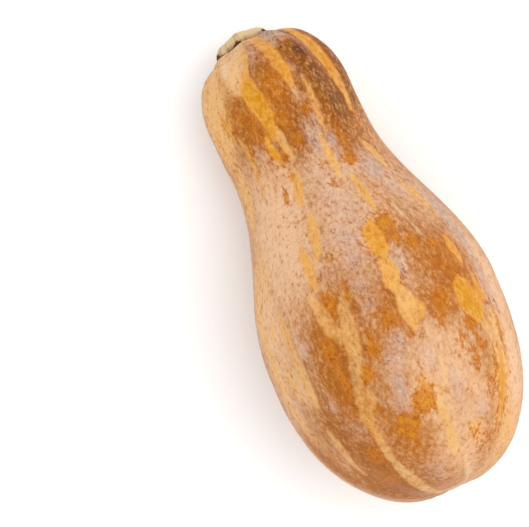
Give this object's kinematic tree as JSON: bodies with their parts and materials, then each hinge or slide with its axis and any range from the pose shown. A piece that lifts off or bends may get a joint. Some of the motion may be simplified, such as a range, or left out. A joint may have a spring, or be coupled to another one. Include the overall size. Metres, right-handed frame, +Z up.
{
  "type": "butternut squash",
  "caption": "Whole striped butternut squash with a short corky stem stub, pear-shaped with shallow ribs, lying on its side.",
  "frame": {"origin": "On the ground, under the middle of the lying squash's box", "axes": "+Z up from the surface it lies on, +Y along the squash from the blossom end to the stem, +X across it"},
  "size_m": [0.1234, 0.2544, 0.1244],
  "materials": {
    "rind": "satin squash rind, orange-brown with ochre stripes and a pale waxy bloom",
    "cork": "matt dry corky stem, pale tan with brown seams"
  },
  "bodies": {
    "root": {"fruit": "rind", "stem": "cork"}
  },
  "joints": []
}
